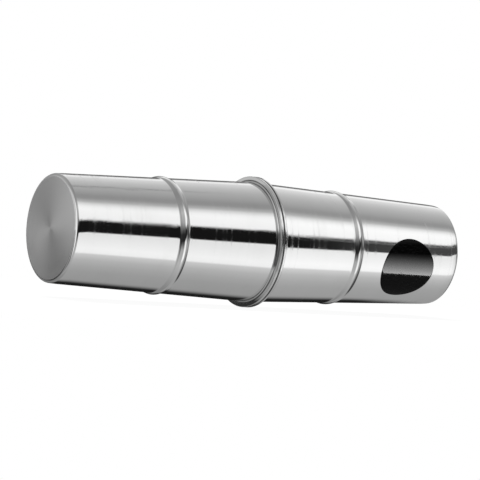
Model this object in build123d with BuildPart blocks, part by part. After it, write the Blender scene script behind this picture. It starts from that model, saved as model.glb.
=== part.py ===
from build123d import *
import os
from itertools import pairwise
from math import asin, atan, cos, degrees, pi, radians, sin, sqrt, tan

# Ganza shaker in millimetres. X runs along the tube, Z is up, and the origin is the middle of the tube.
# Two spun cups stand mouth to mouth, the near one towards -X and the far one towards +X.

# Driving sizes: cups
near_length = 104.0          # flange face to closed end
far_length = 105.9
end_diameter = 48.8          # over the closed end, before its corner is rounded
mouth_diameter = 55.9        # over the wall, where the taper reaches the flange face
flange_width = 2.65          # outwards from the wall at the mouth, folded edge included
wall = 0.75                  # sheet thickness, the same all over a spun cup
end_bend_radius = 0.65       # inside the corner between the closed end and the wall

# Driving sizes: rolled bead on each cup
near_bead_from_mouth = 50.2
far_bead_from_mouth = 45.1
bead_height = 0.8
bead_crest_width = 1.5
bead_flank_width = 1.55      # each side of the crest

# Driving sizes: bond line between the two flanges
bond_thickness = 0.1

# Driving sizes: round label on the far cup
label_diameter = 30.6
label_thickness = 0.15
label_glue = 0.02            # between the wall and the film
label_from_end = 30.0        # closed end to the label's centre
label_drop_angle = 19.0      # below the level line, on the -Y side

# Driving sizes: loose shot
shot_diameter = 4.0
shot_gap = 0.35              # between neighbouring balls
seat_gap = 0.3               # between a ball and the wall it lies on
lane_count = 5               # rows of balls side by side along the bottom
row_count = 5                # balls in each sliding row

# Straight runs that stand for the round stretches of a cup's outline
outside_corner_run_count = 2
inside_corner_run_count = 1
hem_run_count = 4            # even, so that one run ends at the flange's full radius

# Places that follow from the driving sizes
total_length = near_length + bond_thickness + far_length
near_mouth_x = near_length - total_length / 2
far_mouth_x = near_mouth_x + bond_thickness
end_radius = end_diameter / 2
mouth_radius = mouth_diameter / 2
flange_radius = mouth_radius + flange_width
hem_thickness = 2 * wall
hem_round_radius = flange_radius - wall
end_corner_radius = end_bend_radius + wall
bead_foot = bead_crest_width / 2 + bead_flank_width
bead_section = [
    (-bead_foot, 0),
    (-bead_crest_width / 2, bead_height),
    (bead_crest_width / 2, bead_height),
    (bead_foot, 0),
]
shot_radius = shot_diameter / 2
shot_pitch = shot_diameter + shot_gap


def spread(start, end, run_count):
    """Evenly spaced values from start to end, both included."""
    return [start + (end - start) * run / run_count for run in range(run_count + 1)]


class CupShape:
    """The sizes of one cup: depth is measured from its mouth, towards its closed end."""

    def __init__(self, length, bead_from_mouth, mouth_x, away):
        self.length = length
        self.bead_from_mouth = bead_from_mouth
        self.mouth_x = mouth_x
        self.away = away
        self.taper = atan((mouth_radius - end_radius) / length)

    def x(self, depth):
        return self.mouth_x + self.away * depth

    def skin(self, depth, inset=0.0):
        """Radius of the plain taper at a depth, on the surface that lies inset below the outside of the wall."""
        return mouth_radius - tan(self.taper) * depth - inset / cos(self.taper)

    def wall_line(self, start, inset, corner_run_count):
        """Depths and radii from a start depth to the closed end, on the surface inset below the outside."""
        bead = [
            (self.bead_from_mouth + offset, self.skin(self.bead_from_mouth + offset, inset) + rise)
            for offset, rise in bead_section
        ]
        corner_depth = self.length - end_corner_radius
        corner_centre = self.skin(corner_depth, end_corner_radius)
        corner = [
            (
                corner_depth + (end_corner_radius - inset) * sin(angle),
                corner_centre + (end_corner_radius - inset) * cos(angle),
            )
            for angle in spread(self.taper, pi / 2, corner_run_count)
        ]
        return [(start, self.skin(start, inset)), *bead, *corner]

    def ball_centre_radius(self, depth):
        """Distance from the tube's axis to the centre of a ball that lies on the inside of the wall."""
        return self.skin(depth, wall + seat_gap + shot_radius)

    def deepest_ball(self):
        """Depth of a ball's centre when it has reached the closed end."""
        return self.length - wall - seat_gap - shot_radius


near = CupShape(near_length, near_bead_from_mouth, near_mouth_x, -1)
far = CupShape(far_length, far_bead_from_mouth, far_mouth_x, 1)


# Spun cup: a sheet of one thickness with its bead, corner and folded hem, turned round the X axis
def spun_cup(shape, name):
    outside = shape.wall_line(hem_thickness, 0, outside_corner_run_count)
    inside = shape.wall_line(0, wall, inside_corner_run_count)
    hem = [
        (wall + wall * cos(angle), hem_round_radius + wall * sin(angle))
        for angle in spread(0, pi, hem_run_count)
    ]
    closed_end = [outside[-1], (shape.length, 0), (shape.length - wall, 0), inside[-1]]

    def points(line):
        return [(shape.x(depth), radius) for depth, radius in line]

    with BuildPart() as cup:
        with BuildSketch(Plane.XY):
            with BuildLine():
                Polyline(*points([outside[0], *hem, inside[0]]))
                Polyline(*points(closed_end))
                # A run drawn as a two-point curve turns into one plain band
                for line in (outside, inside):
                    for start, end in pairwise(points(line)):
                        Bezier(start, end)
            make_face()
        revolve(axis=Axis.X)
    cup.part.label = name
    return cup.part


near_cup = spun_cup(near, "near_cup")
far_cup = spun_cup(far, "far_cup")

# Bond line: a thin ring on the flat of both flanges, short of their rounded hems
with BuildPart() as seam_bond:
    with BuildSketch(Plane.YZ.offset(near_mouth_x)):
        Circle(hem_round_radius)
        Circle(mouth_radius, mode=Mode.SUBTRACT)
    extrude(amount=bond_thickness)
seam_bond.part.label = "seam_bond"

# Label: a round film, wrapped on the far cup's taper
label_depth = far.length - label_from_end
label_seat_radius = far.skin(label_depth)
label_radius = label_diameter / 2
label_half_chord = label_seat_radius * sin(label_radius / label_seat_radius)
label_drop = radians(label_drop_angle)
label_plane = Plane(
    origin=(far.x(label_depth), 0, 0),
    x_dir=(1, 0, 0),
    z_dir=(0, -cos(label_drop), -sin(label_drop)),
)
with BuildPart() as label:
    with BuildSketch(Plane.XY):
        with BuildLine():
            band_start = label_depth - label_diameter
            band_end = label_depth + label_from_end
            Polyline(
                (far.x(band_start), far.skin(band_start, -label_glue)),
                (far.x(band_end), far.skin(band_end, -label_glue)),
                (far.x(band_end), far.skin(band_end, -label_glue - label_thickness)),
                (far.x(band_start), far.skin(band_start, -label_glue - label_thickness)),
                close=True,
            )
        make_face()
    revolve(axis=Axis.X)
    with BuildSketch(label_plane):
        Ellipse(label_radius, label_half_chord)
    extrude(amount=mouth_diameter, mode=Mode.INTERSECT)
label.part.label = "label"

# Shot: a faceted ball of 18 squares and 8 triangles, its corners all on the ball's own sphere
ball_edge = shot_diameter / sqrt(5 + 2 * sqrt(2))
ball_across = ball_edge * (1 + sqrt(2))
with BuildPart() as ball:
    Box(ball_across, ball_across, ball_across)
    chamfer(ball.edges(), length=ball_edge / sqrt(2))

# Lanes spread both ways from the bottom, so close that balls at a closed end still clear each other
narrowest = min(near.ball_centre_radius(near.deepest_ball()), far.ball_centre_radius(far.deepest_ball()))
lane_step = 2 * asin(shot_pitch / 2 / narrowest)
lanes = [lane_step * (lane - (lane_count - 1) / 2) for lane in range(lane_count)]


def ball_place(shape, lane, depth):
    """Centre of a ball that lies on the wall, lane being its angle from the bottom."""
    radius = shape.ball_centre_radius(depth)
    return (shape.x(depth), radius * sin(lane), -radius * cos(lane))


def shot_group(places, name):
    with BuildPart() as group:
        with Locations(*places):
            add(ball.part)
    group.part.label = name
    return group.part


def export(part):
    export_step(part, f"parts/{part.label}.step")


# The balls beside the seam, one each side of it in every lane, only go round with the swirl
seam_depth = shot_pitch / 2
seam_places = [ball_place(shape, lane, seam_depth) for shape in (near, far) for lane in lanes]
seam_shot = shot_group(seam_places, "seam_shot")

os.makedirs("parts", exist_ok=True)
for piece in (near_cup, far_cup, seam_bond.part, label.part, seam_shot):
    export(piece)

# Each sliding row starts beside the seam balls and runs along its own line of the taper
row_depths = [seam_depth + shot_pitch * (1 + place) for place in range(row_count)]
for side, shape in (("near", near), ("far", far)):
    travel = (shape.deepest_ball() - row_depths[-1]) / cos(shape.taper)
    for number, lane in enumerate(lanes, start=1):
        row = shot_group([ball_place(shape, lane, depth) for depth in row_depths], f"{side}_shot_row_{number}")
        export(row)
        axis = (
            shape.away * cos(shape.taper),
            -sin(shape.taper) * sin(lane),
            sin(shape.taper) * cos(lane),
        )
        print(row.label, "axis", [round(part, 6) for part in axis], "travel", round(travel, 2))

print("length", total_length, "lane step", round(degrees(lane_step), 2))
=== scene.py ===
"""Looks of a ganza shaker: two polished aluminium cups, bonded mouth to mouth and part filled with shot."""

import logging
from dataclasses import dataclass
from enum import Enum
from itertools import pairwise
from math import asin, atan, cos, radians, sin, tan, tau

import bmesh
import bpy
from mathutils import Matrix, Vector


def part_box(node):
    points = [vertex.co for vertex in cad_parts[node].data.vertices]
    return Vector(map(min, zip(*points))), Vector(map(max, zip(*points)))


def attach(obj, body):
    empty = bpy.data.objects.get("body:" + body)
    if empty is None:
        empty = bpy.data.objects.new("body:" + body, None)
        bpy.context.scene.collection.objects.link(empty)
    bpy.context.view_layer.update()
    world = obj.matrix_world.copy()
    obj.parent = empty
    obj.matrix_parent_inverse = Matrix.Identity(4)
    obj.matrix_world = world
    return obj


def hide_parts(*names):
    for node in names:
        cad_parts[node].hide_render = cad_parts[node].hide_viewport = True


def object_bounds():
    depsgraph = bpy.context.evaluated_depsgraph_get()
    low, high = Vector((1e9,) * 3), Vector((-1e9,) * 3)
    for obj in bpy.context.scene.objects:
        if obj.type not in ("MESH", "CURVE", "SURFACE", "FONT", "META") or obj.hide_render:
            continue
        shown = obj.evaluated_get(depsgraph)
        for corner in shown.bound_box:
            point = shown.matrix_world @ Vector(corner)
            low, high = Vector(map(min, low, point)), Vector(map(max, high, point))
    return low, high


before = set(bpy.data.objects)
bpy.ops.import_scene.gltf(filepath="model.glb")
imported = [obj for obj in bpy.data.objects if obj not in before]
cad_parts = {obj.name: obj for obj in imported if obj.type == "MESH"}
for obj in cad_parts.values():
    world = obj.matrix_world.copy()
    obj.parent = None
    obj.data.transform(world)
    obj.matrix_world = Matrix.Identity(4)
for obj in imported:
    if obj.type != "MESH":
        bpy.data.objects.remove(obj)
cad_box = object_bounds()

log = logging.getLogger("ganza")

Socket = bpy.types.NodeSocket
Value = bpy.types.NodeSocket | float
Colour = tuple[float, float, float, float]
Span = tuple[float, float]

MM = 0.001
MERGE_REACH = 0.0005 * MM
SLIVER = 0.0001 * MM
FLAT_WITHIN = 0.001 * MM
FULL_TURN = 360.0
NOISE_MEAN = 0.5
SHELL = "shell"
SWIRL = "swirling_shot"


class Slot(Enum):
    """The record's material slots."""

    ALUMINIUM = "polished_aluminium"
    BOND = "bond"
    LABEL = "label_film"
    SHOT = "steel_shot"


class Side(Enum):
    """Which cup, valued by its direction along X from the seam."""

    NEAR = -1
    FAR = 1

    @property
    def word(self) -> str:
        """The side's word in the names of nodes."""
        return self.name.lower()


@dataclass(frozen=True)
class Grain:
    """A noise pattern on a piece's own coordinates.

    It has cells for each metre along X, Y and Z, and octaves of finer noise. With a rise, it goes smoothly
    from 0 to 1 while the plain noise crosses that span.
    """

    cells: tuple[float, float, float]
    detail: float
    rise: Span | None = None


@dataclass(frozen=True)
class Ripple:
    """A noise pattern that follows one number, with its cells for each unit. The rest is as in a Grain."""

    cells: float
    detail: float
    rise: Span | None = None


class Graph:
    """A node tree, with short ways to add nodes and join them.

    A Mix node has its share, first and second sockets at these places, for numbers and for colours.
    """

    NUMBER_MIX = (0, 2, 3)
    COLOUR_MIX = (0, 6, 7)

    def __init__(self, tree: bpy.types.NodeTree) -> None:
        """Start from an empty tree.

        Args:
            tree: the tree of a material or of the world.
        """
        self.tree = tree
        tree.nodes.clear()

    def add(self, kind: str, **settings: str) -> bpy.types.Node:
        """Add a node.

        Args:
            kind: the node's Blender type.
            settings: properties of the node to set.

        Returns:
            The new node.
        """
        node = self.tree.nodes.new(kind)
        for name, value in settings.items():
            setattr(node, name, value)
        return node

    def feed(self, socket: Socket, value: Value | Colour) -> None:
        """Join a socket to another one, or set its own value.

        Args:
            socket: the input socket.
            value: an output socket, or a plain value.
        """
        if isinstance(value, Socket):
            self.tree.links.new(value, socket)
        else:
            socket.default_value = value

    def math(self, operation: str, *values: Value) -> Socket:
        """Add a Math node.

        Args:
            operation: the operation's Blender name.
            values: up to three sockets or numbers.

        Returns:
            The node's result.
        """
        node = self.add("ShaderNodeMath", operation=operation)
        for socket, value in zip(node.inputs, values):
            self.feed(socket, value)
        return node.outputs[0]

    def ramp(self, factor: Socket, stops: list[Span]) -> Socket:
        """Add a grey ColorRamp.

        Args:
            factor: the ramp's input.
            stops: places from 0 to 1, each with its grey level.

        Returns:
            The ramp's colour.
        """
        node = self.add("ShaderNodeValToRGB")
        elements = node.color_ramp.elements
        while len(elements) < len(stops):
            elements.new(1.0)
        for element, (place, level) in zip(elements, sorted(stops)):
            element.position = place
            element.color = (level, level, level, 1.0)
        self.feed(node.inputs["Fac"], factor)
        return node.outputs["Color"]

    def step(self, value: Socket, start: float, end: float) -> Socket:
        """Rise smoothly from 0 to 1 while a value goes from start to end.

        Args:
            value: the value to follow.
            start: where the rise starts.
            end: where it is over. It may lie below start.

        Returns:
            The rise.
        """
        node = self.add("ShaderNodeMapRange", interpolation_type="SMOOTHSTEP")
        self.feed(node.inputs["Value"], value)
        self.feed(node.inputs["From Min"], start)
        self.feed(node.inputs["From Max"], end)
        return node.outputs["Result"]

    def band(self, value: Socket, rise: Span, fall: Span) -> Socket:
        """Be 1 between a rise and a fall of a value, and 0 outside them.

        Args:
            value: the value to follow.
            rise: where the rise starts and is over.
            fall: where the fall is over and where it starts.

        Returns:
            The band.
        """
        return self.math("MULTIPLY", self.step(value, *rise), self.step(value, *fall))

    def blend(self, share: Socket, first: Value, second: Value) -> Socket:
        """Go from one number to another.

        Args:
            share: how much of the second one, from 0 to 1.
            first: a socket or a number.
            second: a socket or a number.

        Returns:
            The blended number.
        """
        node = self.add("ShaderNodeMix", data_type="FLOAT")
        for place, value in zip(self.NUMBER_MIX, (share, first, second)):
            self.feed(node.inputs[place], value)
        return node.outputs[0]

    def tint(self, share: Socket, first: Socket | Colour, second: Socket | Colour) -> Socket:
        """Go from one colour to another.

        Args:
            share: how much of the second one, from 0 to 1.
            first: a socket or a colour.
            second: a socket or a colour.

        Returns:
            The blended colour.
        """
        node = self.add("ShaderNodeMix", data_type="RGBA")
        for place, value in zip(self.COLOUR_MIX, (share, first, second)):
            self.feed(node.inputs[place], value)
        return node.outputs[2]

    def split(self, vector: Socket) -> bpy.types.NodeOutputs:
        """Take a vector apart.

        Args:
            vector: the vector.

        Returns:
            Sockets named X, Y and Z.
        """
        node = self.add("ShaderNodeSeparateXYZ")
        self.feed(node.inputs["Vector"], vector)
        return node.outputs

    def radius(self) -> Socket:
        """Work out the distance from the tube's axis, on the piece's own coordinates.

        Returns:
            The distance, in metres.
        """
        parts = self.split(self.add("ShaderNodeTexCoord").outputs["Object"])
        square = self.math("MULTIPLY", parts["Y"], parts["Y"])
        return self.math("SQRT", self.math("MULTIPLY_ADD", parts["Z"], parts["Z"], square))

    def noise(self, grain: Grain) -> Socket:
        """Add noise on the piece's own coordinates.

        Args:
            grain: the pattern.

        Returns:
            The pattern's level, from 0 to 1.
        """
        place = self.add("ShaderNodeTexCoord").outputs["Object"]
        mapping = self.add("ShaderNodeMapping")
        mapping.inputs["Scale"].default_value = grain.cells
        self.feed(mapping.inputs["Vector"], place)
        node = self.add("ShaderNodeTexNoise")
        node.inputs["Scale"].default_value = 1.0
        node.inputs["Detail"].default_value = grain.detail
        self.feed(node.inputs["Vector"], mapping.outputs["Vector"])
        level = node.outputs["Fac"]
        return level if grain.rise is None else self.step(level, *grain.rise)

    def noise_along(self, value: Socket, ripple: Ripple) -> Socket:
        """Add noise that follows one number.

        Args:
            value: the number.
            ripple: the pattern.

        Returns:
            The pattern's level, from 0 to 1.
        """
        node = self.add("ShaderNodeTexNoise", noise_dimensions="1D")
        node.inputs["Scale"].default_value = ripple.cells
        node.inputs["Detail"].default_value = ripple.detail
        self.feed(node.inputs["W"], value)
        level = node.outputs["Fac"]
        return level if ripple.rise is None else self.step(level, *ripple.rise)

    def bump(self, height: Socket, depth: float, under: Socket | None = None) -> Socket:
        """Add a Bump node.

        Args:
            height: the height map, from 0 to 1.
            depth: metres that the map's full height stands for.
            under: the normal that this bump adds to, if not the surface's own.

        Returns:
            The bumped normal.
        """
        node = self.add("ShaderNodeBump")
        node.inputs["Strength"].default_value = 1.0
        node.inputs["Distance"].default_value = depth
        self.feed(node.inputs["Height"], height)
        if under is not None:
            self.feed(node.inputs["Normal"], under)
        return node.outputs["Normal"]


class Finish:
    """A surface finish. Each kind adds its own nodes in the method dress."""

    name: str

    def material(self) -> bpy.types.Material:
        """Make the finish's material.

        Returns:
            The new material.
        """
        made = bpy.data.materials.new(self.name)
        made.use_nodes = True
        graph = Graph(made.node_tree)
        shader = graph.add("ShaderNodeBsdfPrincipled")
        output = graph.add("ShaderNodeOutputMaterial")
        graph.feed(output.inputs["Surface"], shader.outputs["BSDF"])
        self.dress(graph, shader)
        return made

    def dress(self, graph: Graph, shader: bpy.types.Node) -> None:
        """Set and feed the shader's sockets.

        Args:
            graph: the material's node tree.
            shader: its Principled shader.
        """
        raise NotImplementedError


@dataclass(frozen=True)
class PolishAndPaintedShade:
    """Dark marks on the flanges: polish left in their groove and at their root, with painted shade there,
    and a painted dark reflection low on the front of their outer faces and on the near rim's front.

    The spans of groove_end, reflection_reach and outer_face are distances from the middle of the seam, and
    near_flange is a place along X from it. Those of flange, root_start, root_end, reflection_end and
    rim_start are radii. Those of reflection_facing and rim_facing say how far a place faces the middle of
    the painted reflection, 1 being straight at it. In each span the marks fade in or out.
    """

    seam_x: float
    flange: Span = (28.1 * MM, 28.3 * MM)
    groove_end: Span = (0.7 * MM, 0.25 * MM)
    root_start: Span = (28.2 * MM, 28.5 * MM)
    root_end: Span = (29.2 * MM, 28.8 * MM)
    reflection_drop: float = radians(6.0)
    reflection_facing: Span = (0.93, 0.98)
    reflection_end: Span = (29.8 * MM, 29.2 * MM)
    reflection_reach: Span = (2.3 * MM, 1.9 * MM)
    reflection_share: float = 1.3
    outer_face: Span = (1.3 * MM, 1.5 * MM)
    rim_facing: Span = (0.91, 0.97)
    rim_start: Span = (29.6 * MM, 30.2 * MM)
    near_flange: Span = (-0.2 * MM, -0.4 * MM)
    rim_share: float = 0.75
    unevenness: Grain = Grain((160.0, 160.0, 160.0), 3.0)
    unevenness_share: float = 0.7
    weakest: float = 0.45
    strongest: float = 0.9

    def thickness(self, graph: Graph) -> Socket:
        """Work out how strong the marks are: polish with painted shade in the groove and at the root, and a
        painted dark reflection at the front.

        Args:
            graph: the metal's node tree.

        Returns:
            The marks' strength, from 0 to 1.
        """
        place = graph.split(graph.add("ShaderNodeTexCoord").outputs["Object"])
        along = graph.math("SUBTRACT", place["X"], self.seam_x)
        from_seam = graph.math("ABSOLUTE", along)
        radius = graph.radius()
        # Groove between the hems: polish left in it, with painted shade there.
        on_flange = graph.step(radius, *self.flange)
        groove = graph.math("MULTIPLY", on_flange, graph.step(from_seam, *self.groove_end))

        # Front of the flanges' outer faces, facing front and a little down: painted dark reflection.
        ahead = graph.math("MULTIPLY", place["Y"], -cos(self.reflection_drop))
        ahead = graph.math("MULTIPLY_ADD", place["Z"], -sin(self.reflection_drop), ahead)
        facing = graph.math("DIVIDE", ahead, radius)
        painted_reflection = graph.step(facing, *self.reflection_facing)
        painted_reflection = graph.math("MULTIPLY", painted_reflection, graph.step(radius, *self.reflection_end))
        painted_reflection = graph.math("MULTIPLY", painted_reflection, graph.step(from_seam, *self.reflection_reach))
        painted_reflection = graph.math("MULTIPLY", painted_reflection, self.reflection_share)
        # Flange root: polish left in the corner, with painted shade there.
        root = graph.band(radius, self.root_start, self.root_end)
        beside = graph.math("MAXIMUM", root, painted_reflection)
        beside = graph.math("MULTIPLY", beside, graph.step(from_seam, *self.outer_face))

        # Near rim's front: painted dark reflection.
        rim_reflection = graph.step(facing, *self.rim_facing)
        rim_reflection = graph.math("MULTIPLY", rim_reflection, graph.step(radius, *self.rim_start))
        rim_reflection = graph.math("MULTIPLY", rim_reflection, graph.step(along, *self.near_flange))
        rim_reflection = graph.math("MULTIPLY", rim_reflection, self.rim_share)

        most = graph.math("MAXIMUM", graph.math("MAXIMUM", groove, beside), rim_reflection)
        uneven = graph.math("MULTIPLY_ADD", graph.noise(self.unevenness), self.unevenness_share, self.weakest)
        thick = graph.math("MULTIPLY", most, uneven)
        return graph.math("MINIMUM", thick, self.strongest)


@dataclass(frozen=True)
class PolishedAluminium(Finish):
    """Spun aluminium after polishing: a mirror with streaks round it, some haze, and a rubbed rim."""

    polish_and_painted_shade: PolishAndPaintedShade
    name: str = "polished aluminium"
    colour: Colour = (0.91, 0.912, 0.912, 1.0)
    hazed_colour: Colour = (0.86, 0.862, 0.858, 1.0)
    # Colour of the flange marks: polish left there, together with painted shade and a painted dark
    # reflection.
    polish_and_shade_colour: Colour = (0.07, 0.07, 0.07, 1.0)
    roughness: float = 0.04
    line_roughness: float = 0.26
    streak_roughness: float = 0.17
    haze_roughness: float = 0.08
    rub_roughness: float = 0.22
    residue_roughness: float = 0.25
    fine_lines: Grain = Grain((2400.0, 10.0, 10.0), 2.0)
    scratch_rise: Span = (0.5, 0.72)
    streaks: Grain = Grain((640.0, 7.0, 7.0), 2.0, (0.46, 0.74))
    patches: Grain = Grain((26.0, 34.0, 34.0), 2.0, (0.4, 0.64))
    faintest_streak: float = 0.3
    haze: Grain = Grain((60.0, 45.0, 45.0), 3.0, (0.5, 0.75))
    haze_share: float = 0.5
    mottling: Grain = Grain((95.0, 70.0, 70.0), 4.0)
    scuffs: Grain = Grain((1500.0, 260.0, 260.0), 3.0, (0.52, 0.66))
    rubbed_rim: Span = (29.7 * MM, 30.5 * MM)
    waves: Grain = Grain((38.0, 30.0, 30.0), 1.0)
    line_depth: float = 0.0005 * MM
    wave_depth: float = 0.05 * MM

    def dress(self, graph: Graph, shader: bpy.types.Node) -> None:
        """Set and feed the shader's sockets.

        Args:
            graph: the material's node tree.
            shader: its Principled shader.
        """
        shader.inputs["Metallic"].default_value = 1.0
        fine_lines = graph.noise(self.fine_lines)
        haze = graph.noise(self.haze)
        on_rim = graph.step(graph.radius(), *self.rubbed_rim)
        rubbed = graph.math("MULTIPLY", on_rim, graph.noise(self.scuffs))
        # Flange marks: polish with painted shade in the recesses, and a painted dark reflection at the
        # front.
        polish_and_shade = self.polish_and_painted_shade.thickness(graph)

        strength = graph.math(
            "MULTIPLY_ADD", graph.noise(self.patches), 1.0 - self.faintest_streak, self.faintest_streak,
        )
        streaks = graph.math("MULTIPLY", graph.noise(self.streaks), strength)
        scratched = graph.math("MULTIPLY", graph.step(fine_lines, *self.scratch_rise), streaks)
        rough = graph.math("MULTIPLY_ADD", scratched, self.line_roughness, self.roughness)
        rough = graph.math("MULTIPLY_ADD", streaks, self.streak_roughness, rough)
        rough = graph.math("MULTIPLY_ADD", haze, self.haze_roughness, rough)
        rough = graph.math("MULTIPLY_ADD", rubbed, self.rub_roughness, rough)
        rough = graph.math("MULTIPLY_ADD", polish_and_shade, self.residue_roughness, rough)
        graph.feed(shader.inputs["Roughness"], rough)

        dulled = graph.math("MULTIPLY_ADD", haze, self.haze_share, graph.noise(self.mottling))
        metal = graph.tint(graph.math("MAXIMUM", dulled, rubbed), self.colour, self.hazed_colour)
        # The flange marks darken the base colour: painted shade and painted reflection, partly polish.
        graph.feed(shader.inputs["Base Color"], graph.tint(polish_and_shade, metal, self.polish_and_shade_colour))

        waves = graph.bump(graph.noise(self.waves), self.wave_depth)
        graph.feed(shader.inputs["Normal"], graph.bump(fine_lines, self.line_depth, waves))


@dataclass(frozen=True)
class TurnedAluminium(Finish):
    """The flat of a closed end, left matt with fine rings from the lathe.

    Its rings face outwards, the more the farther out they lie, so it shades like a slight dome.
    """

    name: str = "turned aluminium"
    colour: Colour = (0.77, 0.77, 0.768, 1.0)
    ring_colour: Colour = (0.83, 0.83, 0.828, 1.0)
    roughness: float = 0.4
    ring_roughness: float = 0.12
    blotch_roughness: float = 0.14
    anisotropy: float = 0.6
    grain_turn: float = 0.25
    rings: Ripple = Ripple(1900.0, 3.0)
    blotches: Grain = Grain((120.0, 120.0, 120.0), 3.0)
    ring_depth: float = 0.0016 * MM
    end_radius: float = 24.4 * MM
    dome_depth: float = 1.0 * MM

    def dress(self, graph: Graph, shader: bpy.types.Node) -> None:
        """Set and feed the shader's sockets.

        Args:
            graph: the material's node tree.
            shader: its Principled shader.
        """
        shader.inputs["Metallic"].default_value = 1.0
        shader.inputs["Anisotropic"].default_value = self.anisotropy
        shader.inputs["Anisotropic Rotation"].default_value = self.grain_turn
        tangent = graph.add("ShaderNodeTangent", direction_type="RADIAL", axis="X")
        graph.feed(shader.inputs["Tangent"], tangent.outputs["Tangent"])
        radius = graph.radius()
        rings = graph.noise_along(radius, self.rings)
        graph.feed(shader.inputs["Base Color"], graph.tint(rings, self.colour, self.ring_colour))
        ringed = graph.math("SUBTRACT", rings, NOISE_MEAN)
        blotched = graph.math("SUBTRACT", graph.noise(self.blotches), NOISE_MEAN)
        rough = graph.math("MULTIPLY_ADD", ringed, self.ring_roughness, self.roughness)
        rough = graph.math("MULTIPLY_ADD", blotched, self.blotch_roughness, rough)
        graph.feed(shader.inputs["Roughness"], rough)

        square = graph.math("MULTIPLY", radius, radius)
        dome = graph.math("MULTIPLY_ADD", square, -1.0 / self.end_radius ** 2, 1.0)
        domed = graph.bump(dome, self.dome_depth)
        graph.feed(shader.inputs["Normal"], graph.bump(rings, self.ring_depth, domed))


@dataclass(frozen=True)
class DarkBond(Finish):
    """Set adhesive in the seam, a little uneven and dusty."""

    name: str = "dark bond"
    colour: Colour = (0.02, 0.02, 0.022, 1.0)
    dusty_colour: Colour = (0.07, 0.068, 0.064, 1.0)
    roughness: float = 0.4
    dusty_roughness: float = 0.8
    lumps: Grain = Grain((700.0, 700.0, 700.0), 3.0)
    dust_rise: Span = (0.45, 0.7)
    lump_depth: float = 0.02 * MM

    def dress(self, graph: Graph, shader: bpy.types.Node) -> None:
        """Set and feed the shader's sockets.

        Args:
            graph: the material's node tree.
            shader: its Principled shader.
        """
        lumps = graph.noise(self.lumps)
        dust = graph.step(lumps, *self.dust_rise)
        graph.feed(shader.inputs["Base Color"], graph.tint(dust, self.colour, self.dusty_colour))
        graph.feed(shader.inputs["Roughness"], graph.blend(dust, self.roughness, self.dusty_roughness))
        graph.feed(shader.inputs["Normal"], graph.bump(lumps, self.lump_depth))


@dataclass(frozen=True)
class GlossyFilm(Finish):
    """Bare black vinyl film, with the faint orange peel of a rolled gloss and fine rubbed marks."""

    name: str = "black film"
    colour: Colour = (0.0018, 0.0018, 0.0018, 1.0)
    rubbed_colour: Colour = (0.005, 0.005, 0.0052, 1.0)
    ior: float = 1.15
    roughness: float = 0.06
    rubbed_roughness: float = 0.16
    peel: Grain = Grain((900.0, 900.0, 900.0), 1.0)
    rubs: Grain = Grain((300.0, 90.0, 1400.0), 3.0, (0.5, 0.75))
    peel_depth: float = 0.0012 * MM

    def dress(self, graph: Graph, shader: bpy.types.Node) -> None:
        """Set and feed the shader's sockets.

        Args:
            graph: the material's node tree.
            shader: its Principled shader.
        """
        shader.inputs["IOR"].default_value = self.ior
        peel = graph.noise(self.peel)
        rubs = graph.noise(self.rubs)
        graph.feed(shader.inputs["Base Color"], graph.tint(rubs, self.colour, self.rubbed_colour))
        graph.feed(shader.inputs["Roughness"], graph.blend(rubs, self.roughness, self.rubbed_roughness))
        graph.feed(shader.inputs["Normal"], graph.bump(peel, self.peel_depth))


@dataclass(frozen=True)
class TumbledSteel(Finish):
    """Steel balls, dulled and dented by knocking together."""

    name: str = "tumbled steel"
    colour: Colour = (0.58, 0.585, 0.59, 1.0)
    grimy_colour: Colour = (0.3, 0.295, 0.285, 1.0)
    roughness: float = 0.2
    grimy_roughness: float = 0.45
    dents: Grain = Grain((900.0, 900.0, 900.0), 2.0)
    grime: Grain = Grain((420.0, 420.0, 420.0), 4.0, (0.5, 0.72))
    dent_depth: float = 0.03 * MM

    def dress(self, graph: Graph, shader: bpy.types.Node) -> None:
        """Set and feed the shader's sockets.

        Args:
            graph: the material's node tree.
            shader: its Principled shader.
        """
        shader.inputs["Metallic"].default_value = 1.0
        dents = graph.noise(self.dents)
        grime = graph.noise(self.grime)
        graph.feed(shader.inputs["Base Color"], graph.tint(grime, self.colour, self.grimy_colour))
        graph.feed(shader.inputs["Roughness"], graph.blend(grime, self.roughness, self.grimy_roughness))
        graph.feed(shader.inputs["Normal"], graph.bump(dents, self.dent_depth))


@dataclass(frozen=True)
class Corner:
    """One point of a turned outline: a depth from the mouth, a radius, and the radius of its round."""

    depth: float
    radius: float
    rounding: float = 0.0
    segments: int = 8


def piece_from(bm: bmesh.types.BMesh, name: str, *finishes: bpy.types.Material) -> bpy.types.Object:
    """Make an object of a finished bmesh, and free the bmesh.

    Args:
        bm: the mesh, already in its place.
        name: the piece's name.
        finishes: materials for its slots, in order.

    Returns:
        The new object, at the origin.
    """
    for face in bm.faces:
        face.smooth = True
    mesh = bpy.data.meshes.new(name)
    bm.to_mesh(mesh)
    bm.free()
    for finish in finishes:
        mesh.materials.append(finish)
    piece = bpy.data.objects.new(name, mesh)
    bpy.context.scene.collection.objects.link(piece)
    return piece


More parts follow.
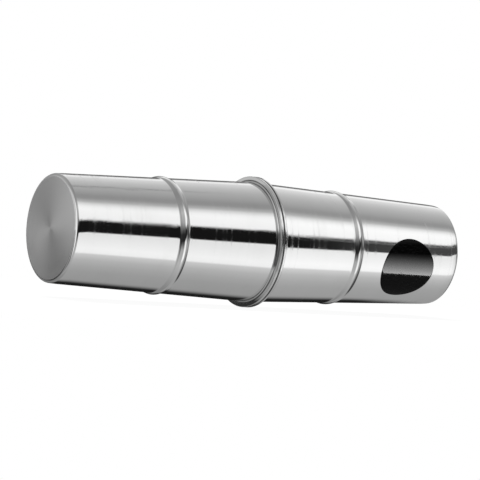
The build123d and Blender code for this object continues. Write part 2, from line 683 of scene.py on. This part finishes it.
def turn_outline(bm: bmesh.types.BMesh, axis: Vector, around: int) -> None:
    """Turn an outline all the way round an axis through the origin.

    One eighth is spun and then doubled three times, which is far quicker than one long spin.

    Args:
        bm: a mesh that holds only the outline.
        axis: the axis to turn about.
        around: steps in the whole turn, a multiple of eight.
    """
    doublings = 3
    parts = 2 ** doublings
    swept = tau / parts
    bmesh.ops.spin(
        bm, geom=bm.verts[:] + bm.edges[:], cent=(0, 0, 0), axis=axis, angle=swept, steps=around // parts,
    )
    for _ in range(doublings):
        copy = bmesh.ops.duplicate(bm, geom=bm.verts[:] + bm.edges[:] + bm.faces[:])
        copied = [part for part in copy["geom"] if isinstance(part, bmesh.types.BMVert)]
        bmesh.ops.rotate(bm, cent=(0, 0, 0), matrix=Matrix.Rotation(swept, 3, axis), verts=copied)
        swept *= 2
    bmesh.ops.remove_doubles(bm, verts=bm.verts[:], dist=MERGE_REACH)
    bmesh.ops.dissolve_degenerate(bm, edges=bm.edges[:], dist=SLIVER)
    bmesh.ops.recalc_face_normals(bm, faces=bm.faces[:])


@dataclass
class SpunCup:
    """One cup of the shell, spun from sheet, with a bead, a flat closed end and a hemmed flange."""

    side: Side
    bead_from_mouth: float
    end_radius: float = 24.4 * MM
    mouth_radius: float = 27.95 * MM
    wall: float = 0.75 * MM
    corner_round: float = 1.4 * MM
    roll_run: float = 4.0 * MM
    roll_drop: float = 0.15 * MM
    roll_round: float = 60.0 * MM
    bead_height: float = 0.8 * MM
    bead_crest: float = 2.2 * MM
    bead_flank: float = 1.2 * MM
    crest_round: float = 3.6 * MM
    foot_round: float = 1.1 * MM
    hem_round: float = 0.35 * MM
    groove_round: float = 0.4 * MM
    flange_fillet: float = 0.55 * MM
    end_segments: int = 16
    hem_segments: int = 12
    inner_segments: int = 4
    around: int = 288
    longest_run: float = 1.5 * MM

    def __post_init__(self) -> None:
        """Read the cup's place and reach from its CAD node."""
        low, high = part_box(self.node)
        self.mouth_x = high.x if self.side is Side.NEAR else low.x
        self.length = high.x - low.x
        self.flange_radius = high.z

    @property
    def node(self) -> str:
        """The cup's CAD node."""
        return f"{self.side.word}_cup"

    @property
    def slope(self) -> float:
        """Loss of radius for each metre of depth."""
        return (self.mouth_radius - self.end_radius) / self.length

    def x(self, depth: float) -> float:
        """Place along X of a depth from the mouth."""
        return self.mouth_x + self.side.value * depth

    def skin(self, depth: float, inset: float = 0.0) -> float:
        """Radius of the plain taper at a depth, inset below the outside of the wall."""
        return self.mouth_radius - self.slope * depth - inset / cos(atan(self.slope))

    def bead(self, inset: float) -> list[Corner]:
        """Outline of the bead on one face of the wall.

        Args:
            inset: how far below the outside the face lies.

        Returns:
            The bead's corners, from the mouth side on.
        """
        half = self.bead_crest / 2
        foot = half + self.bead_flank
        section = [
            (-foot, 0.0, self.foot_round),
            (-half, self.bead_height, self.crest_round),
            (half, self.bead_height, self.crest_round),
            (foot, 0.0, self.foot_round),
        ]
        corners = []
        for offset, rise, rounding in section:
            depth = self.bead_from_mouth + offset
            corners.append(Corner(depth, self.skin(depth, inset) + rise, rounding))
        return corners

    def outline(self) -> list[Corner]:
        """The turned outline, from the outside of the closed end round the hem to the inside.

        Returns:
            The outline's corners.
        """
        hem = 2 * self.wall
        roll = self.length - self.roll_run
        end_radius = self.skin(self.length) - self.roll_drop
        inner = self.length - self.wall
        inner_round = self.corner_round - self.wall
        return [
            Corner(self.length, 0.0),
            Corner(self.length, end_radius, self.corner_round, self.end_segments),
            Corner(roll, self.skin(roll), self.roll_round),
            *reversed(self.bead(0.0)),
            Corner(hem, self.skin(hem), self.flange_fillet),
            Corner(hem, self.flange_radius, self.hem_round, self.hem_segments),
            Corner(0.0, self.flange_radius, self.groove_round, self.hem_segments),
            Corner(0.0, self.skin(0.0, self.wall)),
            *self.bead(self.wall),
            Corner(inner, self.skin(inner, self.wall), inner_round, self.inner_segments),
            Corner(inner, 0.0),
        ]

    def on_outside(self, edge: bmesh.types.BMEdge) -> bool:
        """Tell whether an edge of the outline lies on the outside of the sheet.

        Args:
            edge: the edge.

        Returns:
            True if it does.
        """
        middle = (edge.verts[0].co + edge.verts[1].co) / 2
        depth = abs(middle.x - self.mouth_x)
        return middle.y > self.skin(depth, self.wall / 2) or depth > self.length - self.wall / 2

    def build(self, polished: bpy.types.Material, turned: bpy.types.Material) -> bpy.types.Object:
        """Spin the cup and put it in the frame.

        Args:
            polished: finish of the wall.
            turned: finish of the closed end's flat.

        Returns:
            The cup.
        """
        bm = bmesh.new()
        corners = self.outline()
        points = [bm.verts.new((self.x(corner.depth), corner.radius, 0.0)) for corner in corners]
        for start, end in pairwise(points):
            bm.edges.new((start, end))
        turns = [
            tangent_length(before.co, point.co, after.co, corner.rounding)
            for before, point, after, corner in zip(points, points[1:], points[2:], corners[1:])
        ]
        for point, corner, reach in zip(points[1:], corners[1:], turns):
            if reach > 0.0:
                bmesh.ops.bevel(
                    bm, geom=[point], offset=reach, offset_type="OFFSET", segments=corner.segments,
                    profile=0.5, affect="VERTICES", material=-1,
                )
        divide_long_runs(bm, [edge for edge in bm.edges if self.on_outside(edge)], self.longest_run)
        turn_outline(bm, Vector((1.0, 0.0, 0.0)), self.around)
        end_x = self.x(self.length)
        for face in bm.faces:
            face.material_index = int(all(abs(vert.co.x - end_x) < FLAT_WITHIN for vert in face.verts))
        cup = piece_from(bm, f"{self.side.word}_cup_spun", polished, turned)
        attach(cup, SHELL)
        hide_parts(self.node)
        return cup


def tangent_length(before: Vector, corner: Vector, after: Vector, rounding: float) -> float:
    """How far from a corner its round starts.

    Args:
        before: the point before the corner.
        corner: the corner.
        after: the point after it.
        rounding: the round's radius.

    Returns:
        The length along either side that the round takes up.
    """
    turn = (corner - before).angle(after - corner)
    return rounding * tan(turn / 2)


def divide_long_runs(bm: bmesh.types.BMesh, edges: list[bmesh.types.BMEdge], longest: float) -> None:
    """Divide the long edges of an outline, so that smooth shading stays true beside its rounds.

    Args:
        bm: a mesh that holds only the outline.
        edges: the edges to divide.
        longest: length that no edge of these keeps.
    """
    for edge in edges:
        cuts = int(edge.calc_length() / longest)
        if cuts:
            bmesh.ops.subdivide_edges(bm, edges=[edge], cuts=cuts)


@dataclass
class Label:
    """The bare round film on the far cup."""

    cup: SpunCup
    diameter: float = 30.6 * MM
    thickness: float = 0.15 * MM
    glue: float = 0.02 * MM
    edge_round: float = 0.06 * MM
    edge_segments: int = 3
    from_end: float = 30.0 * MM
    drop: float = radians(19.0)
    around: int = 128
    longest_run: float = 1.0 * MM

    def build(self, film: bpy.types.Material) -> bpy.types.Object:
        """Cut the film and wrap it on the cup.

        Args:
            film: its finish.

        Returns:
            The label.
        """
        bm = bmesh.new()
        radius = self.diameter / 2
        section = [(0.0, self.thickness), (radius, self.thickness), (radius, 0.0), (0.0, 0.0)]
        points = [bm.verts.new((reach, 0.0, height)) for reach, height in section]
        for start, end in pairwise(points):
            bm.edges.new((start, end))
        bmesh.ops.bevel(
            bm, geom=[points[1]], offset=self.edge_round, offset_type="OFFSET", segments=self.edge_segments,
            profile=0.5, affect="VERTICES", material=-1,
        )
        divide_long_runs(bm, bm.edges[:], self.longest_run)
        turn_outline(bm, Vector((0.0, 0.0, 1.0)), self.around)
        for vert in bm.verts:
            vert.co = self.wrapped(vert.co)
        bmesh.ops.recalc_face_normals(bm, faces=bm.faces[:])
        label = piece_from(bm, "label_film", film)
        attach(label, SHELL)
        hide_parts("label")
        return label

    def wrapped(self, flat: Vector) -> Vector:
        """Where a point of the flat film comes to lie.

        Args:
            flat: the point, with Z out of the film.

        Returns:
            Its place on the cup.
        """
        centre = self.cup.length - self.from_end
        depth = centre + self.cup.side.value * flat.x
        radius = self.cup.skin(depth) + self.glue + flat.z
        angle = self.drop + flat.y / self.cup.skin(centre)
        return Vector((self.cup.x(depth), -radius * cos(angle), -radius * sin(angle)))


@dataclass
class LooseShot:
    """The steel balls inside, in lanes along the bottom."""

    cups: dict[Side, SpunCup]
    diameter: float = 4.0 * MM
    gap: float = 0.35 * MM
    seat_gap: float = 0.3 * MM
    lane_count: int = 5
    row_count: int = 5
    ball_subdivisions: int = 3

    @property
    def pitch(self) -> float:
        """Distance between neighbouring balls."""
        return self.diameter + self.gap

    def lay_radius(self, cup: SpunCup, depth: float) -> float:
        """Distance from the axis to a ball's centre at a depth in a cup."""
        return cup.skin(depth, cup.wall + self.seat_gap + self.diameter / 2)

    def lanes(self) -> list[float]:
        """Spread the lanes so that balls at a closed end still clear each other.

        Returns:
            The lanes' angles from the bottom.
        """
        narrowest = min(
            self.lay_radius(cup, cup.length - cup.wall - self.seat_gap - self.diameter / 2)
            for cup in self.cups.values()
        )
        step = 2 * asin(self.pitch / 2 / narrowest)
        return [step * (lane - (self.lane_count - 1) / 2) for lane in range(self.lane_count)]

    def place(self, cup: SpunCup, lane: float, depth: float) -> Vector:
        """Centre of a ball in a lane of a cup."""
        radius = self.lay_radius(cup, depth)
        return Vector((cup.x(depth), radius * sin(lane), -radius * cos(lane)))

    def group(
        self, node: str, body: str, centres: list[Vector], steel: bpy.types.Material,
    ) -> bpy.types.Object:
        """Make one node's balls.

        Args:
            node: the CAD node that they stand for.
            body: the CAD body that they ride on.
            centres: the balls' centres.
            steel: their finish.

        Returns:
            The balls, as one piece.
        """
        bm = bmesh.new()
        for centre in centres:
            bmesh.ops.create_icosphere(
                bm, subdivisions=self.ball_subdivisions, radius=self.diameter / 2,
                matrix=Matrix.Translation(centre),
            )
        balls = piece_from(bm, f"{node}_balls", steel)
        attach(balls, body)
        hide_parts(node)
        return balls

    def build(self, steel: bpy.types.Material) -> list[bpy.types.Object]:
        """Make all the shot.

        Args:
            steel: its finish.

        Returns:
            The balls beside the seam, then each row.
        """
        first = self.pitch / 2
        lanes = self.lanes()
        beside_seam = [self.place(cup, lane, first) for cup in self.cups.values() for lane in lanes]
        groups = [self.group("seam_shot", SWIRL, beside_seam, steel)]
        depths = [first + self.pitch * (1 + ball) for ball in range(self.row_count)]
        for side, cup in self.cups.items():
            for number, lane in enumerate(lanes, start=1):
                node = f"{side.word}_shot_row_{number}"
                centres = [self.place(cup, lane, depth) for depth in depths]
                groups.append(self.group(node, node, centres, steel))
        return groups


@dataclass(frozen=True)
class Zone:
    """A slice of the studio across X.

    Its light levels go by the angle about X: 0 is the front, 90 overhead, -90 the floor and 180 behind.
    The blend from the zone before it starts and ends at these X of a direction.
    """

    blend: Span
    levels: tuple[Span, ...]

    def light(self, graph: Graph, angle: Socket) -> Socket:
        """Add the zone's light.

        Args:
            graph: the world's node tree.
            angle: the angle about X, in degrees.

        Returns:
            The level at that angle.
        """
        place = graph.math("MULTIPLY_ADD", angle, 1 / FULL_TURN, 0.5)
        return graph.ramp(place, [(turn / FULL_TURN + 0.5, level) for turn, level in self.levels])


LEFT_CARD = Zone((-1.0, -1.0), (
    (-180.0, 0.55), (-150.0, 0.3), (-120.0, 0.16), (-85.0, 0.2), (-60.0, 0.9),
    (60.0, 1.0), (85.0, 0.7), (115.0, 0.5), (180.0, 0.7),
))
BEHIND_CAMERA = Zone((-0.76, -0.62), (
    (-180.0, 0.03), (-165.0, 0.04), (-150.0, 0.14), (-120.0, 0.33), (-95.0, 0.37), (-58.0, 0.37),
    (-42.0, 0.32), (-26.0, 0.12), (-12.0, 0.02), (4.0, 0.03), (19.0, 0.18), (34.0, 0.36), (68.0, 0.31),
    (110.0, 0.32), (145.0, 0.4), (180.0, 0.55),
))
LEFT_GAP = Zone((-0.5, -0.34), (
    (-180.0, 0.15), (-110.0, 0.26), (-77.0, 0.38), (-50.0, 0.5), (-24.0, 0.42), (-12.0, 0.1), (-7.0, 0.02),
    (5.0, 0.02), (12.0, 0.08), (26.0, 0.4), (45.0, 0.52), (62.0, 0.29), (85.0, 0.26), (130.0, 0.36),
    (180.0, 0.28),
))
ROUND_TUBE = Zone((0.2, 0.3), (
    (-180.0, 0.3), (-124.0, 0.33), (-93.0, 0.36), (-77.0, 0.41), (-62.0, 0.49), (-49.0, 0.65), (-45.5, 0.97),
    (-36.0, 1.0), (-24.0, 0.94), (-8.0, 0.86), (27.0, 0.98), (44.0, 1.03), (50.0, 0.97), (57.0, 0.72),
    (61.0, 0.48), (69.0, 0.31), (75.0, 0.3), (86.0, 0.37), (105.0, 0.47), (119.0, 0.57), (127.0, 0.65),
    (137.0, 0.73), (143.0, 0.93), (149.0, 0.94), (155.0, 0.17), (180.0, 0.13),
))
RIGHT_GAP = Zone((0.7, 0.79), (
    (-180.0, 0.04), (-108.0, 0.06), (-77.0, 0.24), (-50.0, 0.33), (-24.0, 0.42), (-8.0, 0.22), (2.0, 0.06),
    (26.0, 0.07), (36.0, 0.25), (48.0, 0.5), (62.0, 0.3), (90.0, 0.3), (130.0, 0.38), (180.0, 0.2),
))


@dataclass(frozen=True)
class CardDetail:
    """What the cards round the tube show besides plain light.

    Between the two front cards lies a dark strip, with a light thread in it. A faint crease runs over the
    top, and it is dark below. Spans named for a side or a cup are of a direction's X, and the other ones are
    angles about X, in degrees. A slant is the turn for each unit of a direction's X, then the turn at 0.
    """

    far_cup: Span = (0.53, 0.57)
    near_slant: Span = (-22.0, 11.0)
    far_slant: Span = (-90.0, 59.6)
    wander: Ripple = Ripple(160.0, 2.0)
    wander_reach: float = 13.0
    fringe: Ripple = Ripple(620.0, 2.0)
    fringe_reach: float = 7.0
    strip_start: Span = (-3.2, -0.2)
    strip_end: Span = (25.5, 21.5)
    strip_level: float = 0.008
    right_side: Span = (0.615, 0.66)
    right_level: float = 0.06
    thread_start: Span = (17.0, 18.0)
    thread_end: Span = (20.0, 19.0)
    thread_side: Span = (0.612, 0.622)
    thread_breaks: Ripple = Ripple(300.0, 2.0, (0.4, 0.6))
    thread_level: float = 0.35
    crease_start: Span = (99.0, 102.0)
    crease_end: Span = (106.0, 103.0)
    crease_side: Span = (0.5, 0.46)
    crease_share: float = 0.3
    below: Span = (-123.0, -146.0)
    below_side: Span = (0.625, 0.598)
    below_level: float = 0.012
    far_gain: float = 0.07

    def add_to(self, light: Socket, graph: Graph, angle: Socket, side: Socket) -> Socket:
        """Put the detail into the cards' light.

        Args:
            light: the cards' plain level.
            graph: the world's node tree.
            angle: the angle about X, in degrees.
            side: the direction's X.

        Returns:
            The level with the detail.
        """
        on_far_cup = graph.step(side, *self.far_cup)
        near_turn = graph.math("MULTIPLY_ADD", side, *self.near_slant)
        far_turn = graph.math("MULTIPLY_ADD", side, *self.far_slant)
        straight = graph.math("ADD", angle, graph.blend(on_far_cup, near_turn, far_turn))
        wavy = straight
        for ripple, reach in ((self.wander, self.wander_reach), (self.fringe, self.fringe_reach)):
            uneven = graph.math("SUBTRACT", graph.noise_along(side, ripple), NOISE_MEAN)
            wavy = graph.math("MULTIPLY_ADD", uneven, reach, wavy)

        strip = graph.step(straight, *self.strip_start)
        strip = graph.math("MULTIPLY", strip, graph.step(wavy, *self.strip_end))
        thread = graph.band(wavy, self.thread_start, self.thread_end)
        thread = graph.math("MULTIPLY", thread, graph.step(side, *self.thread_side))
        thread = graph.math("MULTIPLY", thread, graph.noise_along(side, self.thread_breaks))
        dark = graph.blend(graph.step(side, *self.right_side), self.strip_level, self.right_level)
        dark = graph.blend(thread, dark, self.thread_level)
        lit = graph.blend(strip, light, dark)

        crease = graph.band(wavy, self.crease_start, self.crease_end)
        crease = graph.math("MULTIPLY", crease, graph.step(side, *self.crease_side))
        lit = graph.blend(graph.math("MULTIPLY", crease, self.crease_share), lit, 0.0)

        below = graph.step(angle, *self.below)
        below = graph.math("MULTIPLY", below, graph.step(side, *self.below_side))
        lit = graph.blend(below, lit, self.below_level)
        return graph.math("MULTIPLY", lit, graph.math("MULTIPLY_ADD", on_far_cup, self.far_gain, 1.0))


@dataclass(frozen=True)
class Cards:
    """The studio's cards round the tube's axis. They are in the world, where the camera sees plain white."""

    first: Zone = LEFT_CARD
    others: tuple[Zone, ...] = (BEHIND_CAMERA, LEFT_GAP, ROUND_TUBE, RIGHT_GAP)
    detailed: Zone = ROUND_TUBE
    detail: CardDetail = CardDetail()
    background: Colour = (1.0, 1.0, 1.0, 1.0)

    def build(self) -> None:
        """Make the world."""
        world = bpy.data.worlds.new("studio")
        world.use_nodes = True
        bpy.context.scene.world = world
        graph = Graph(world.node_tree)
        cards = graph.add("ShaderNodeBackground")
        graph.feed(cards.inputs["Color"], self.level(graph))
        white = graph.add("ShaderNodeBackground")
        white.inputs["Color"].default_value = self.background
        mix = graph.add("ShaderNodeMixShader")
        graph.feed(mix.inputs["Fac"], graph.add("ShaderNodeLightPath").outputs["Is Camera Ray"])
        graph.feed(mix.inputs[1], cards.outputs["Background"])
        graph.feed(mix.inputs[2], white.outputs["Background"])
        output = graph.add("ShaderNodeOutputWorld")
        graph.feed(output.inputs["Surface"], mix.outputs["Shader"])

    def level(self, graph: Graph) -> Socket:
        """Add the light of all the zones, from the left to the right.

        Args:
            graph: the world's node tree.

        Returns:
            The level in a direction.
        """
        parts = graph.split(graph.add("ShaderNodeTexCoord").outputs["Generated"])
        side = parts["X"]
        front = graph.math("MULTIPLY", parts["Y"], -1.0)
        angle = graph.math("DEGREES", graph.math("ARCTAN2", parts["Z"], front))
        level = self.first.light(graph, angle)
        for zone in self.others:
            light = zone.light(graph, angle)
            if zone is self.detailed:
                light = self.detail.add_to(light, graph, angle, side)
            level = graph.blend(graph.step(side, *zone.blend), level, light)
        return level


@dataclass(frozen=True)
class Floor:
    """A wide pale floor that the camera sees as white, with a faint shadow round the shaker."""

    height: float
    half_width: float = 8.0
    paint: Colour = (0.85, 0.85, 0.85, 1.0)
    whiteness: float = 0.95
    all_white: Span = (0.12, 0.3)

    def build(self) -> None:
        """Lay the floor."""
        bm = bmesh.new()
        bmesh.ops.create_grid(
            bm, x_segments=1, y_segments=1, size=self.half_width,
            matrix=Matrix.Translation((0.0, 0.0, self.height)),
        )
        floor = piece_from(bm, "floor", self.material())
        floor.visible_glossy = False

    def material(self) -> bpy.types.Material:
        """Make the floor's material.

        Returns:
            The new material.
        """
        made = bpy.data.materials.new("pale floor")
        made.use_nodes = True
        graph = Graph(made.node_tree)
        output = graph.add("ShaderNodeOutputMaterial")
        paint = graph.add("ShaderNodeBsdfDiffuse")
        paint.inputs["Color"].default_value = self.paint
        white = graph.add("ShaderNodeEmission")
        white.inputs["Strength"].default_value = 1.0
        away = graph.add("ShaderNodeVectorMath", operation="LENGTH")
        graph.feed(away.inputs[0], graph.add("ShaderNodeTexCoord").outputs["Object"])
        whiteness = graph.blend(graph.step(away.outputs["Value"], *self.all_white), self.whiteness, 1.0)
        seen = graph.add("ShaderNodeLightPath").outputs["Is Camera Ray"]
        mix = graph.add("ShaderNodeMixShader")
        graph.feed(mix.inputs["Fac"], graph.math("MULTIPLY", seen, whiteness))
        graph.feed(mix.inputs[1], paint.outputs["BSDF"])
        graph.feed(mix.inputs[2], white.outputs["Emission"])
        graph.feed(output.inputs["Surface"], mix.outputs["Shader"])
        return made


def area_lamp(name: str, size: Span, power: float, place: Vector, away: Vector) -> bpy.types.Object:
    """Hang up a rectangular lamp.

    Args:
        name: its name.
        size: its width and height.
        power: its power, in watts.
        place: where it hangs.
        away: the direction that its back faces.

    Returns:
        The lamp.
    """
    data = bpy.data.lights.new(name, "AREA")
    data.shape = "RECTANGLE"
    data.size, data.size_y = size
    data.energy = power
    lamp = bpy.data.objects.new(name, data)
    lamp.location = place
    lamp.rotation_mode = "QUATERNION"
    lamp.rotation_quaternion = away.to_track_quat("Z", "Y")
    bpy.context.scene.collection.objects.link(lamp)
    return lamp


@dataclass(frozen=True)
class Softbox:
    """One long softbox over the tube, a little behind it, for the floor's shadow."""

    size: Span = (1.2, 0.12)
    power: float = 26.0
    elevation: float = radians(66.0)
    distance: float = 1.2

    def build(self) -> None:
        """Hang the softbox."""
        back = Vector((0.0, cos(self.elevation), sin(self.elevation)))
        lamp = area_lamp("overhead softbox", self.size, self.power, back * self.distance, back)
        lamp.visible_glossy = False


@dataclass(frozen=True)
class LabelCard:
    """A card that only the black film mirrors, bright along its lower edge and fading upwards."""

    size: Span = (0.6, 0.6)
    power: float = 58.0
    fading: float = 1.6
    towards: tuple[float, float, float] = (0.66, -0.68, -0.32)

    def build(self, label: bpy.types.Object) -> None:
        """Set up the card, one metre from the film.

        Args:
            label: the film.
        """
        low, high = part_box("label")
        towards = Vector(self.towards).normalized()
        lamp = area_lamp("label card", self.size, self.power, (low + high) / 2 + towards, towards)
        lamp.visible_camera = False
        lamp.visible_diffuse = False
        lamp.data.use_shadow = False
        lamp.data.use_nodes = True
        graph = Graph(lamp.data.node_tree)
        across = graph.split(graph.add("ShaderNodeNewGeometry").outputs["Parametric"])
        height = graph.math("SUBTRACT", 1.0, across["Y"])
        emission = graph.add("ShaderNodeEmission")
        graph.feed(emission.inputs["Strength"], graph.math("POWER", height, self.fading))
        output = graph.add("ShaderNodeOutputLight")
        graph.feed(output.inputs["Surface"], emission.outputs["Emission"])
        receivers = bpy.data.collections.new("lit by the label card")
        receivers.objects.link(label)
        lamp.light_linking.receiver_collection = receivers


@dataclass(frozen=True)
class PhotoCamera:
    """The camera, where the photograph was taken. Its aim lies a little off the middle of the tube."""

    azimuth: float = radians(-32.53)
    elevation: float = radians(-0.155)
    roll: float = radians(3.96)
    distance: float = 986.4 * MM
    aim_left: float = 4.65 * MM
    aim_up: float = 0.93 * MM
    sensor_width: float = 36.0
    lens: float = 158.18

    def build(self) -> None:
        """Stand the camera in its place and make it the scene's own."""
        across = cos(self.elevation)
        back = Vector((sin(self.azimuth) * across, -cos(self.azimuth) * across, sin(self.elevation)))
        level = Vector((cos(self.azimuth), sin(self.azimuth), 0.0))
        upright = back.cross(level)
        right = level * cos(self.roll) + upright * sin(self.roll)
        up = upright * cos(self.roll) - level * sin(self.roll)
        data = bpy.data.cameras.new("photo camera")
        data.sensor_width = self.sensor_width
        data.lens = self.lens
        camera = bpy.data.objects.new("photo camera", data)
        place = back * self.distance - right * self.aim_left + up * self.aim_up
        turn = Matrix((right, up, back)).transposed().to_4x4()
        camera.matrix_world = Matrix.Translation(place) @ turn
        bpy.context.scene.collection.objects.link(camera)
        bpy.context.scene.camera = camera


@dataclass(frozen=True)
class Studio:
    """The floor, the light and the camera."""

    floor: Floor
    cards: Cards = Cards()
    softbox: Softbox = Softbox()
    label_card: LabelCard = LabelCard()
    camera: PhotoCamera = PhotoCamera()

    def build(self, label: bpy.types.Object) -> None:
        """Make the floor, the world, the lamps and the camera.

        Args:
            label: the film that has a light of its own.
        """
        self.floor.build()
        self.cards.build()
        self.softbox.build()
        self.label_card.build(label)
        self.camera.build()
        bpy.context.scene.view_settings.view_transform = "Standard"


def main() -> None:
    """Build and dress the shaker, then its studio."""
    logging.basicConfig(level=logging.INFO)
    cups = {
        Side.NEAR: SpunCup(Side.NEAR, bead_from_mouth=50.2 * MM),
        Side.FAR: SpunCup(Side.FAR, bead_from_mouth=45.1 * MM),
    }
    seam_x = (cups[Side.NEAR].mouth_x + cups[Side.FAR].mouth_x) / 2
    polished = PolishedAluminium(PolishAndPaintedShade(seam_x)).material()
    turned = TurnedAluminium().material()
    pieces = [cup.build(polished, turned) for cup in cups.values()]
    label = Label(cups[Side.FAR]).build(GlossyFilm().material())
    pieces.append(label)
    pieces.extend(LooseShot(cups).build(TumbledSteel().material()))
    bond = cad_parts["seam_bond"]
    bond.data.materials.clear()
    bond.data.materials.append(DarkBond().material())
    for piece in pieces + [bond]:
        log.info("%s: %d faces", piece.name, len(piece.data.polygons))
    Studio(Floor(height=cad_box[0].z)).build(label)


if __name__ == "__main__":
    main()
